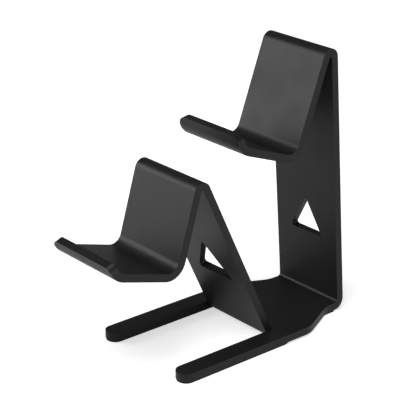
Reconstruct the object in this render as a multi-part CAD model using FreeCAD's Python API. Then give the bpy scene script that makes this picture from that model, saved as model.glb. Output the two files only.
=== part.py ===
import FreeCAD, Part
import math
import os

# A desk stand with two cradles, one behind and above the other.
# It is a single thick plastic plate, cut flat and bent hot: a base with two prongs, an upright
# folded up from its rear end, and an arm folded up between the prongs. The upright and the arm
# each fold over at the top and end in a cradle: a steep back that comes down to a valley, a
# floor that rises forward from there, and a short lip with round corners.
# Anti-slip pads are glued under the prongs and under the neck of the base.
# Millimetres, +Z up, front towards -Y, X across. The origin is on the floor, under the middle
# of the stand's length.

# Plate and folds. The radii are on the inside of each fold.
plate_thickness = 5.0
rear_fold_radius = 2.0
tight_fold_radius = 1.0

# Base, seen from above. The lengths run forward from the line where the upright's rear face
# would meet the floor.
neck_width = 54.0
neck_length = 13.5
shoulder_length = 35.5
prong_gap = 56.0
prong_width = 12.6
base_length = 144.0

# Upright.
stand_height = 177.4
upright_lean = 4.3

# Arm. Its setback is where its rear face meets the top of the base.
arm_setback = 63.3
arm_height = 117.1
arm_lean = 25.3
saw_cut = 0.3

# Windows, each a triangle with equal sides and its point upwards.
upright_window_side = 28.0
arm_window_side = 32.0
window_sill = 40.0
window_corner_radius = 1.5

# Cradles. A back ends, and a floor starts, where their inner faces would meet in the valley.
# A floor ends where the lip's fold starts, and a lip's length is what stands past that fold.
upper_back_length = 61.6
upper_floor_rise = 20.5
upper_lip_lean = 9.0
lower_back_length = 48.9
lower_floor_rise = 16.5
lower_lip_lean = 22.0
floor_length = 38.7
lip_length = 3.7
lip_corner_radius = 5.5
cradle_fold_radius = 7.0

# Pads.
pad_thickness = 1.3
pad_inset = 0.4
prong_pad_length = 86.0
rear_pad_depth = 9.0

# Values worked out from the sizes above.
half_neck = neck_width / 2
half_gap = prong_gap / 2
half_base = half_gap + prong_width
arm_width = prong_gap - 2 * saw_cut
base_middle_height = pad_thickness + plate_thickness / 2
upright_heading = 90.0 + upright_lean
arm_heading = 90.0 + arm_lean
upper_back_heading = 270.0 - upper_floor_rise
lower_back_heading = 270.0 - lower_floor_rise


def vector(x, y, z=0.0):
    return FreeCAD.Vector(x, y, z)


def line(start, end):
    return Part.LineSegment(start, end).toShape()


def arc(start, middle, end):
    return Part.Arc(start, middle, end).toShape()


def half_s(start, end):
    """An arc that leaves start along Y and reaches end, and where it passes half way."""
    across = end.x - start.x
    along = end.y - start.y
    radius = (across ** 2 + along ** 2) / (2 * across)
    half_turn = math.atan2(abs(across), abs(along))
    middle_x = start.x + radius * (1 - math.cos(half_turn))
    middle_y = start.y + math.copysign(1, along) * abs(radius) * math.sin(half_turn)
    return arc(start, vector(middle_x, middle_y), end)


def s_curve(start, end):
    """Two equal arcs that carry a side edge outwards and leave it parallel to Y again."""
    centre = (start + end) * 0.5
    first = half_s(start, centre)
    second = half_s(end, centre)
    return [first, second]


def mirrored_face(right_edges, rear, front):
    """A flat outline, from its right-hand edges and the ends where they meet the left ones."""
    left_edges = [edge.mirror(vector(0, 0), vector(1, 0)) for edge in right_edges]
    ends = [line(rear, vector(-rear.x, rear.y)), line(front, vector(-front.x, front.y))]
    edges = Part.sortEdges(right_edges + left_edges + ends)[0]
    return Part.Face(Part.Wire(edges))


class Sheet:
    """A place on the plate's middle plane, with the way that the next stretch of plate goes.

    The heading is the angle from +Y towards +Z. A flat is drawn with X across and Y along the
    heading, and a fold to the left turns the plate towards the flat's own +Z.
    """

    def __init__(self, y, z, heading):
        self.y = y
        self.z = z
        self.heading = heading

    def left(self):
        angle = math.radians(self.heading)
        return vector(0, -math.sin(angle), math.cos(angle))

    def advance(self, length):
        angle = math.radians(self.heading)
        y = self.y + length * math.cos(angle)
        z = self.z + length * math.sin(angle)
        return Sheet(y, z, self.heading)

    def place(self, shape):
        turn = FreeCAD.Rotation(vector(1, 0, 0), self.heading)
        shape.Placement = FreeCAD.Placement(vector(0, self.y, self.z), turn)
        return shape

    def flat(self, face):
        face.translate(vector(0, 0, -plate_thickness / 2))
        return self.place(face.extrude(vector(0, 0, plate_thickness)))

    def fold(self, width, new_heading, inner_radius):
        """The bent stretch, and the place where the next flat starts."""
        turn = new_heading - self.heading
        side = math.copysign(1, turn)
        middle_radius = inner_radius + plate_thickness / 2
        centre = vector(0, self.y, self.z) + self.left() * side * middle_radius
        corners = [
            vector(-width / 2, 0, -plate_thickness / 2),
            vector(width / 2, 0, -plate_thickness / 2),
            vector(width / 2, 0, plate_thickness / 2),
            vector(-width / 2, 0, plate_thickness / 2),
        ]
        section = self.place(Part.Face(Part.makePolygon(corners + corners[:1])))
        bent = section.revolve(centre, vector(1, 0, 0), turn)
        after = Sheet(0, 0, new_heading)
        start = centre - after.left() * side * middle_radius
        after.y = start.y
        after.z = start.z
        return bent, after


def straight_to_height(sheet, inner_radius, height):
    """How long a flat is, so that the fold at its end just reaches the height."""
    middle_radius = inner_radius + plate_thickness / 2
    fold_centre_z = height - inner_radius - plate_thickness
    fold_start_z = fold_centre_z - middle_radius * sheet.left().z
    return (fold_start_z - sheet.z) / math.sin(math.radians(sheet.heading))


def window(side, sill):
    """A triangular hole through a flat, with its corners rounded."""
    height = side * math.sqrt(3) / 2
    corners = [vector(-side / 2, sill), vector(side / 2, sill), vector(0, sill + height)]
    face = Part.Face(Part.makePolygon(corners + corners[:1]))
    face.translate(vector(0, 0, -plate_thickness))
    prism = face.extrude(vector(0, 0, 2 * plate_thickness))
    upright_edges = [e for e in prism.Edges if abs(e.tangentAt(e.FirstParameter).z) > 0.9]
    return prism.makeFillet(window_corner_radius, upright_edges)


def rectangle(width, length):
    corners = [
        vector(-width / 2, 0),
        vector(width / 2, 0),
        vector(width / 2, length),
        vector(-width / 2, length),
    ]
    return Part.Face(Part.makePolygon(corners + corners[:1]))


def strip(sheet, width, length, window_side):
    """The flat of the upright or of the arm, with its window."""
    plate = sheet.flat(rectangle(width, length))
    return plate.cut(sheet.place(window(window_side, window_sill)))


def base():
    """The flat base: neck, shoulders and prongs, with the slot that the arm is cut from."""
    tip_radius = prong_width / 2
    tip_centre_y = tip_radius - base_length
    shoulder_start = vector(half_neck, -neck_length)
    shoulder_end = vector(half_base, -neck_length - shoulder_length)
    outer_end = vector(half_base, tip_centre_y)
    inner_end = vector(half_gap, tip_centre_y)
    tip = vector(half_gap + tip_radius, -base_length)
    rear = vector(half_neck, rear_fold_start)
    slot_end = vector(half_gap, arm_fold_start)
    right_edges = [line(rear, shoulder_start)]
    right_edges += s_curve(shoulder_start, shoulder_end)
    right_edges += [
        line(shoulder_end, outer_end),
        arc(outer_end, tip, inner_end),
        line(inner_end, slot_end),
    ]
    face = mirrored_face(right_edges, rear, slot_end)
    face.translate(vector(0, 0, pad_thickness))
    return face.extrude(vector(0, 0, plate_thickness))


def round_cornered(width, reach):
    """What a lip is trimmed to, drawn round the place where its straight part starts."""
    margin = 2 * cradle_fold_radius
    half = width / 2
    corner_start = vector(half, reach - lip_corner_radius)
    corner_end = vector(half - lip_corner_radius, reach)
    bulge = lip_corner_radius * math.sqrt(0.5)
    corner_middle = vector(corner_end.x + bulge, corner_start.y + bulge)
    root = vector(half, -margin)
    edges = [line(root, corner_start), arc(corner_start, corner_middle, corner_end)]
    face = mirrored_face(edges, root, corner_end)
    face.translate(vector(0, 0, -margin))
    return face.extrude(vector(0, 0, 2 * margin))


def cradle(start, width, back_length, floor_rise, lip_lean):
    """The pieces from the end of the top fold, down the back and up the floor, to the lip."""
    back = start.flat(rectangle(width, back_length - cradle_fold_radius))
    valley_start = start.advance(back_length - cradle_fold_radius)
    valley, floor_start = valley_start.fold(width, 180.0 - floor_rise, cradle_fold_radius)
    floor = floor_start.flat(rectangle(width, floor_length - cradle_fold_radius))
    lip_start = floor_start.advance(floor_length - cradle_fold_radius)
    lip_fold, lip_foot = lip_start.fold(width, 90.0 + lip_lean, cradle_fold_radius)
    lip = lip_fold.fuse(lip_foot.flat(rectangle(width, lip_length)))
    lip = lip.common(lip_foot.place(round_cornered(width, lip_length)))
    return [back, valley, floor, lip]


def prong_pad():
    """The right-hand strip, as wide as the prong less an inset, with both ends rounded."""
    radius = prong_width / 2 - pad_inset
    centre_x = half_gap + prong_width / 2
    front_y = prong_width / 2 - base_length
    rear_y = front_y + prong_pad_length - 2 * radius
    outer_front = vector(centre_x + radius, front_y)
    inner_front = vector(centre_x - radius, front_y)
    outer_rear = vector(centre_x + radius, rear_y)
    inner_rear = vector(centre_x - radius, rear_y)
    edges = [
        line(outer_rear, outer_front),
        arc(outer_front, vector(centre_x, front_y - radius), inner_front),
        line(inner_front, inner_rear),
        arc(inner_rear, vector(centre_x, rear_y + radius), outer_rear),
    ]
    return Part.Face(Part.Wire(edges)).extrude(vector(0, 0, pad_thickness))


def rear_pad():
    """The strip across the neck, in front of the rear fold."""
    width = neck_width - 2 * pad_inset
    front_y = rear_fold_start - pad_inset - rear_pad_depth
    return Part.makeBox(width, rear_pad_depth, pad_thickness, vector(-width / 2, front_y, 0))


# Where the rear fold starts, so that the upright's rear face reaches the floor at Y = 0.
rear_outer_radius = rear_fold_radius + plate_thickness
upright_angle = math.radians(upright_heading)
rear_face_z = pad_thickness + rear_outer_radius * (1 - math.cos(upright_angle))
rear_fold_start = rear_face_z / math.tan(upright_angle) - rear_outer_radius * math.sin(upright_angle)

# Where the arm's fold starts, so that its rear face would meet the base at the setback.
arm_turn = math.radians(180.0 - arm_heading)
arm_fold_start = tight_fold_radius * math.tan(arm_turn / 2) - arm_setback

pieces = [base()]

# The upright, from the rear end of the base to its own cradle.
rear_end = Sheet(rear_fold_start, base_middle_height, 0.0)
rear_fold, upright_foot = rear_end.fold(neck_width, upright_heading, rear_fold_radius)
upright_length = straight_to_height(upright_foot, tight_fold_radius, stand_height)
upright = strip(upright_foot, neck_width, upright_length, upright_window_side)
upright_top = upright_foot.advance(upright_length)
upper_fold, upper_back = upright_top.fold(neck_width, upper_back_heading, tight_fold_radius)
pieces += [rear_fold, upright, upper_fold]
pieces += cradle(upper_back, neck_width, upper_back_length, upper_floor_rise, upper_lip_lean)

# The arm, from the rear end of the slot to its own cradle.
slot_end = Sheet(arm_fold_start, base_middle_height, 180.0)
arm_fold, arm_foot = slot_end.fold(arm_width, arm_heading, tight_fold_radius)
arm_length = straight_to_height(arm_foot, tight_fold_radius, arm_height)
arm = strip(arm_foot, arm_width, arm_length, arm_window_side)
arm_top = arm_foot.advance(arm_length)
lower_fold, lower_back = arm_top.fold(arm_width, lower_back_heading, tight_fold_radius)
pieces += [arm_fold, arm, lower_fold]
pieces += cradle(lower_back, arm_width, lower_back_length, lower_floor_rise, lower_lip_lean)

folded_plate = pieces[0].multiFuse(pieces[1:]).removeSplitter()

right_pad = prong_pad()
left_pad = right_pad.mirror(vector(0, 0), vector(1, 0))
nodes = {
    "folded_plate": folded_plate,
    "right_prong_pad": right_pad,
    "left_prong_pad": left_pad,
    "rear_pad": rear_pad(),
}

box = folded_plate.BoundBox
to_middle = vector(0, -(box.YMin + box.YMax) / 2, 0)
os.makedirs("parts", exist_ok=True)
for name, shape in nodes.items():
    shape.translate(to_middle)
    shape.exportStep("parts/" + name + ".step")
    print(name, shape.ShapeType, len(shape.Solids), shape.isValid(), round(shape.Volume, 1))
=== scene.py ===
import math

import bmesh
import bpy
from mathutils import Matrix, Vector


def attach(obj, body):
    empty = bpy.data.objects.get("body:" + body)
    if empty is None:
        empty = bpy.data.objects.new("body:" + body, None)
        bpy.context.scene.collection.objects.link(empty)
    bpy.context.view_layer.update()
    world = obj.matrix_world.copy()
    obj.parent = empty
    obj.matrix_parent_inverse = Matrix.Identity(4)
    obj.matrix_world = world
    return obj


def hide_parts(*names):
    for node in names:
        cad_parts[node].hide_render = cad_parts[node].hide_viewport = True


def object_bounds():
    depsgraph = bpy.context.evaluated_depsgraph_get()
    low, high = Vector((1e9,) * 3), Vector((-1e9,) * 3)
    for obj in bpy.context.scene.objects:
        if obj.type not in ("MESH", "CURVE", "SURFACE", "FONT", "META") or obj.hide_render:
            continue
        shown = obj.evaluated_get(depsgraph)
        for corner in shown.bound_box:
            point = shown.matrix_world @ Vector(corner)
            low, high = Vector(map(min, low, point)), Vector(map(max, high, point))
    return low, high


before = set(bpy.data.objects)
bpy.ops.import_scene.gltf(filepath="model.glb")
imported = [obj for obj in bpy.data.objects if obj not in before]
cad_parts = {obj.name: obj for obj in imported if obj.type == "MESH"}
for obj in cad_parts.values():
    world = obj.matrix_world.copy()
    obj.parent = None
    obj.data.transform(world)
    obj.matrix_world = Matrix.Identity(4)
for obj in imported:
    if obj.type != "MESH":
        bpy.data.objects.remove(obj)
cad_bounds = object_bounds()

# Folded plate.
# One thick sheet of satin black plastic, cut flat with its windows and bent hot into the base,
# the upright, the arm and both cradles. Its cut edges are eased all round, and the shoulders of
# the base run straight between two blends.
EDGE_ROUND = 0.00055
EDGE_STEPS = 3
EDGE_ANGLE = math.radians(32)
FLAT_ANGLE = math.radians(0.4)
WELD_DISTANCE = 0.000004

SHOULDER_START = 0.0101
FLANK_ANGLE = math.radians(27)
FLANK_BLEND = 0.020

# The rims of the shoulders are below this height, further out than this, and between these
# distances from the rear.
BASE_TOP = 0.0065
HALF_NECK = 0.0269
SHOULDER_REACH = (0.0125, 0.0490)

PLATE_DARK = (0.0065, 0.0065, 0.0068, 1)
PLATE_LIGHT = (0.0085, 0.0085, 0.0088, 1)
PATCH_SCALE = 55.0
PATCH_DETAIL = 3.0
PATCH_SPAN = (0.3, 0.7)
PLATE_ROUGHNESS = (0.40, 0.46)
PLATE_SPECULAR = 0.28
GRAIN_SCALE = 2600.0
GRAIN_DETAIL = 2.0
GRAIN_STRENGTH = 0.16
GRAIN_DEPTH = 0.00006


def flank_point(step, last, inside, outside):
    """Where a shoulder's edge is after so many steps: how far out, and how far from the rear."""
    middle = last // 2
    drop = (outside - inside) / math.tan(FLANK_ANGLE)
    length = drop + 2 * FLANK_BLEND * math.tan(FLANK_ANGLE / 2)
    if step == middle:
        return (inside + outside) / 2, SHOULDER_START + length / 2
    turned = FLANK_ANGLE * min(step, last - step) / (middle - 1)
    sideways = FLANK_BLEND * (1 - math.cos(turned))
    forward = FLANK_BLEND * math.sin(turned)
    if step < middle:
        return inside + sideways, SHOULDER_START + forward
    return outside - sideways, SHOULDER_START + length - forward


def straighten_shoulders(work):
    """Move the rims of both shoulders on to their blends and straight flanks."""
    rear = cad_bounds[1][1]
    rims = {}
    for corner in work.verts:
        place = corner.co
        from_rear = rear - place.y
        on_edge = place.z < BASE_TOP and abs(place.x) > HALF_NECK
        if on_edge and SHOULDER_REACH[0] < from_rear < SHOULDER_REACH[1]:
            rims.setdefault((place.x > 0, round(place.z, 4)), []).append(corner)
    for (is_right, height), rim in rims.items():
        rim.sort(key=lambda corner: -corner.co.y)
        side = 1 if is_right else -1
        inside = abs(rim[0].co.x)
        outside = abs(rim[-1].co.x)
        for step, corner in enumerate(rim):
            out, from_rear = flank_point(step, len(rim) - 1, inside, outside)
            corner.co.x = side * out
            corner.co.y = rear - from_rear


def eased_copy(node, edge_round, name, reshape=None):
    """A copy of a CAD solid with its sharp edges rounded over and its folds shaded smooth."""
    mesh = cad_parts[node].data.copy()
    mesh.materials.clear()
    work = bmesh.new()
    work.from_mesh(mesh)
    bmesh.ops.remove_doubles(work, verts=work.verts, dist=WELD_DISTANCE)
    bmesh.ops.dissolve_limit(work, angle_limit=FLAT_ANGLE, verts=work.verts, edges=work.edges)
    if reshape:
        reshape(work)
    work.to_mesh(mesh)
    work.free()
    mesh.validate()
    mesh.shade_smooth()
    piece = bpy.data.objects.new(name, mesh)
    bpy.context.scene.collection.objects.link(piece)
    rounding = piece.modifiers.new("eased edges", "BEVEL")
    rounding.width = edge_round
    rounding.segments = EDGE_STEPS
    rounding.limit_method = "ANGLE"
    rounding.angle_limit = EDGE_ANGLE
    rounding.miter_outer = "MITER_ARC"
    levelling = piece.modifiers.new("level flats", "WEIGHTED_NORMAL")
    levelling.mode = "FACE_AREA_WITH_ANGLE"
    levelling.weight = 100
    evaluated = piece.evaluated_get(bpy.context.evaluated_depsgraph_get())
    finished = bpy.data.meshes.new_from_object(evaluated)
    piece.modifiers.clear()
    piece.data = finished
    return piece


def new_material(name):
    """A material with its nodes, links and shader, and a place in the piece's own coordinates."""
    material = bpy.data.materials.new(name)
    material.use_nodes = True
    nodes = material.node_tree.nodes
    links = material.node_tree.links
    place = nodes.new("ShaderNodeTexCoord").outputs["Object"]
    return material, nodes, links, nodes["Principled BSDF"], place


def add_noise(nodes, links, place, scale, detail):
    noise = nodes.new("ShaderNodeTexNoise")
    noise.inputs["Scale"].default_value = scale
    noise.inputs["Detail"].default_value = detail
    links.new(place, noise.inputs["Vector"])
    return noise.outputs["Fac"]


def shade_between(nodes, links, shader, pattern, span, shades):
    """Let the base colour go from one shade to another as a pattern crosses its span."""
    ramp = nodes.new("ShaderNodeValToRGB")
    for end, position, shade in zip(ramp.color_ramp.elements, span, shades):
        end.position = position
        end.color = shade
    links.new(pattern, ramp.inputs["Fac"])
    links.new(ramp.outputs["Color"], shader.inputs["Base Color"])


def add_relief(nodes, links, shader, pattern, strength, depth):
    relief = nodes.new("ShaderNodeBump")
    relief.inputs["Strength"].default_value = strength
    relief.inputs["Distance"].default_value = depth
    links.new(pattern, relief.inputs["Height"])
    links.new(relief.outputs["Normal"], shader.inputs["Normal"])


def satin_plastic():
    """Black sheet plastic with a fine grain, a little smoother where its tone is darker."""
    material, nodes, links, shader, place = new_material("satin black plastic")
    patches = add_noise(nodes, links, place, PATCH_SCALE, PATCH_DETAIL)
    shade_between(nodes, links, shader, patches, PATCH_SPAN, (PLATE_DARK, PLATE_LIGHT))
    polish = nodes.new("ShaderNodeMapRange")
    polish.inputs["From Min"].default_value = PATCH_SPAN[0]
    polish.inputs["From Max"].default_value = PATCH_SPAN[1]
    polish.inputs["To Min"].default_value = PLATE_ROUGHNESS[0]
    polish.inputs["To Max"].default_value = PLATE_ROUGHNESS[1]
    links.new(patches, polish.inputs["Value"])
    links.new(polish.outputs["Result"], shader.inputs["Roughness"])
    grain = add_noise(nodes, links, place, GRAIN_SCALE, GRAIN_DETAIL)
    add_relief(nodes, links, shader, grain, GRAIN_STRENGTH, GRAIN_DEPTH)
    shader.inputs["Specular IOR Level"].default_value = PLATE_SPECULAR
    return material


plate = eased_copy("folded_plate", EDGE_ROUND, "stand_plate", straighten_shoulders)
plate.data.materials.append(satin_plastic())
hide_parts("folded_plate")
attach(plate, "root")

# Anti-slip pads.
# Strips of soft black rubber glued under both prongs and under the neck, thinner than the plate
# and set in a little from its outline, with their edges moulded round.
PAD_EDGE_ROUND = 0.0003
PAD_DARK = (0.010, 0.010, 0.010, 1)
PAD_LIGHT = (0.022, 0.022, 0.021, 1)
DUST_SCALE = 180.0
DUST_DETAIL = 4.0
DUST_SPAN = (0.0, 1.0)
PEBBLE_SIZE = 0.0006
PEBBLE_STRENGTH = 0.4
PEBBLE_DEPTH = 0.0001
PAD_ROUGHNESS = 0.8
PAD_SPECULAR = 0.3


def pad_rubber():
    """Matt rubber with a pebbled surface, paler where dust clings to it."""
    material, nodes, links, shader, place = new_material("black pad rubber")
    dust = add_noise(nodes, links, place, DUST_SCALE, DUST_DETAIL)
    shade_between(nodes, links, shader, dust, DUST_SPAN, (PAD_DARK, PAD_LIGHT))
    pebbles = nodes.new("ShaderNodeTexVoronoi")
    pebbles.inputs["Scale"].default_value = 1.0 / PEBBLE_SIZE
    links.new(place, pebbles.inputs["Vector"])
    add_relief(nodes, links, shader, pebbles.outputs["Distance"], PEBBLE_STRENGTH, PEBBLE_DEPTH)
    shader.inputs["Roughness"].default_value = PAD_ROUGHNESS
    shader.inputs["Specular IOR Level"].default_value = PAD_SPECULAR
    return material


rubber = pad_rubber()
for node in ("right_prong_pad", "left_prong_pad", "rear_pad"):
    pad = eased_copy(node, PAD_EDGE_ROUND, "soft_" + node)
    pad.data.materials.append(rubber)
    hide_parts(node)
    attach(pad, "root")

# Floor and backdrop.
# One pale sheet under soft light. A lift makes it white to the camera and a little paler in what
# the plastic reflects, and it still takes the shadow of the stand.
FLOOR_REACH = 4.0
FLOOR_GREY = (0.8, 0.8, 0.8, 1)
FLOOR_ROUGHNESS = 0.9
FLOOR_SPECULAR = 0.1
SEEN_LIFT = 0.6
MIRRORED_LIFT = 0.12


def pale_floor():
    material = bpy.data.materials.new("pale floor")
    material.use_nodes = True
    nodes = material.node_tree.nodes
    links = material.node_tree.links
    shader = nodes["Principled BSDF"]
    shader.inputs["Base Color"].default_value = FLOOR_GREY
    shader.inputs["Roughness"].default_value = FLOOR_ROUGHNESS
    shader.inputs["Specular IOR Level"].default_value = FLOOR_SPECULAR
    ray = nodes.new("ShaderNodeLightPath")
    mirrored = nodes.new("ShaderNodeMath")
    mirrored.operation = "MULTIPLY"
    mirrored.inputs[1].default_value = MIRRORED_LIFT
    links.new(ray.outputs["Is Glossy Ray"], mirrored.inputs[0])
    lift = nodes.new("ShaderNodeMath")
    lift.operation = "MULTIPLY_ADD"
    lift.inputs[1].default_value = SEEN_LIFT
    links.new(ray.outputs["Is Camera Ray"], lift.inputs[0])
    links.new(mirrored.outputs["Value"], lift.inputs[2])
    glow = nodes.new("ShaderNodeEmission")
    links.new(lift.outputs["Value"], glow.inputs["Strength"])
    together = nodes.new("ShaderNodeAddShader")
    links.new(shader.outputs["BSDF"], together.inputs[0])
    links.new(glow.outputs["Emission"], together.inputs[1])
    links.new(together.outputs["Shader"], nodes["Material Output"].inputs["Surface"])
    return material


floor_corners = [
    (-FLOOR_REACH, -FLOOR_REACH, 0.0),
    (FLOOR_REACH, -FLOOR_REACH, 0.0),
    (FLOOR_REACH, FLOOR_REACH, 0.0),
    (-FLOOR_REACH, FLOOR_REACH, 0.0),
]
floor_mesh = bpy.data.meshes.new("floor")
floor_mesh.from_pydata(floor_corners, [], [(0, 1, 2, 3)])
floor_mesh.materials.append(pale_floor())
floor = bpy.data.objects.new("floor", floor_mesh)
bpy.context.scene.collection.objects.link(floor)

# Light.
# A room that is pale at the horizon and dark overhead, so that the folds keep a dark line on top,
# a wide soft box high in front, one low at the front left and a weak one at the right.
ROOM_AT_HORIZON = 0.22
ROOM_OVERHEAD = 0.03
SEEN_WHITE = 1.0
LIT_POINT = Vector((0.0, 0.0, 0.09))

world = bpy.data.worlds.new("room")
bpy.context.scene.world = world
world.use_nodes = True
room_nodes = world.node_tree.nodes
room_links = world.node_tree.links
room_light = room_nodes["Background"]
room_light.inputs["Color"].default_value = (1, 1, 1, 1)
looking = room_nodes.new("ShaderNodeTexCoord")
direction = room_nodes.new("ShaderNodeSeparateXYZ")
room_links.new(looking.outputs["Generated"], direction.inputs["Vector"])
fade = room_nodes.new("ShaderNodeMapRange")
fade.inputs["To Min"].default_value = ROOM_AT_HORIZON
fade.inputs["To Max"].default_value = ROOM_OVERHEAD
room_links.new(direction.outputs["Z"], fade.inputs["Value"])
room_links.new(fade.outputs["Result"], room_light.inputs["Strength"])
seen_white = room_nodes.new("ShaderNodeBackground")
seen_white.inputs["Strength"].default_value = SEEN_WHITE
ray = room_nodes.new("ShaderNodeLightPath")
choose = room_nodes.new("ShaderNodeMixShader")
room_links.new(ray.outputs["Is Camera Ray"], choose.inputs["Fac"])
room_links.new(room_light.outputs["Background"], choose.inputs[1])
room_links.new(seen_white.outputs["Background"], choose.inputs[2])
room_links.new(choose.outputs["Shader"], room_nodes["World Output"].inputs["Surface"])


def add_soft_box(name, place, size, watts):
    """A square lamp that faces the middle of the stand."""
    lamp = bpy.data.lights.new(name, "AREA")
    lamp.shape = "SQUARE"
    lamp.size = size
    lamp.energy = watts
    holder = bpy.data.objects.new(name, lamp)
    holder.location = place
    holder.rotation_euler = (LIT_POINT - Vector(place)).to_track_quat("-Z", "Y").to_euler()
    bpy.context.scene.collection.objects.link(holder)


add_soft_box("high front box", place=(0.4, -0.7, 1.92), size=1.0, watts=29.0)
add_soft_box("front left box", place=(-0.9, -0.8, 0.5), size=0.8, watts=9.0)
add_soft_box("right box", place=(1.0, 0.3, 0.35), size=0.7, watts=3.0)

# Camera.
# It looks from the front right and above, as the picture does, from about 0.93 m away.
VIEW_SIDE = math.radians(49.91)
VIEW_HEIGHT = math.radians(21.93)
REAR_TO_TARGET = 0.04436
TARGET_HEIGHT = 0.0765
VIEW_DISTANCE = 0.92894
VIEW_ACROSS = -0.04065
VIEW_UP = 0.00225
VIEW_LENS = 134.35
SENSOR_WIDTH = 36.0

target = Vector((0.0, cad_bounds[1][1] - REAR_TO_TARGET, TARGET_HEIGHT))
back = Vector((
    math.sin(VIEW_SIDE) * math.cos(VIEW_HEIGHT),
    -math.cos(VIEW_SIDE) * math.cos(VIEW_HEIGHT),
    math.sin(VIEW_HEIGHT),
))
right = Vector((math.cos(VIEW_SIDE), math.sin(VIEW_SIDE), 0.0))
up = back.cross(right)
camera_data = bpy.data.cameras.new("camera")
camera_data.lens = VIEW_LENS
camera_data.sensor_width = SENSOR_WIDTH
camera = bpy.data.objects.new("camera", camera_data)
turn = Matrix((right, up, back)).transposed().to_4x4()
place = target + back * VIEW_DISTANCE + right * VIEW_ACROSS + up * VIEW_UP
camera.matrix_world = Matrix.Translation(place) @ turn
bpy.context.scene.collection.objects.link(camera)
bpy.context.scene.camera = camera
bpy.context.scene.view_settings.view_transform = "Standard"
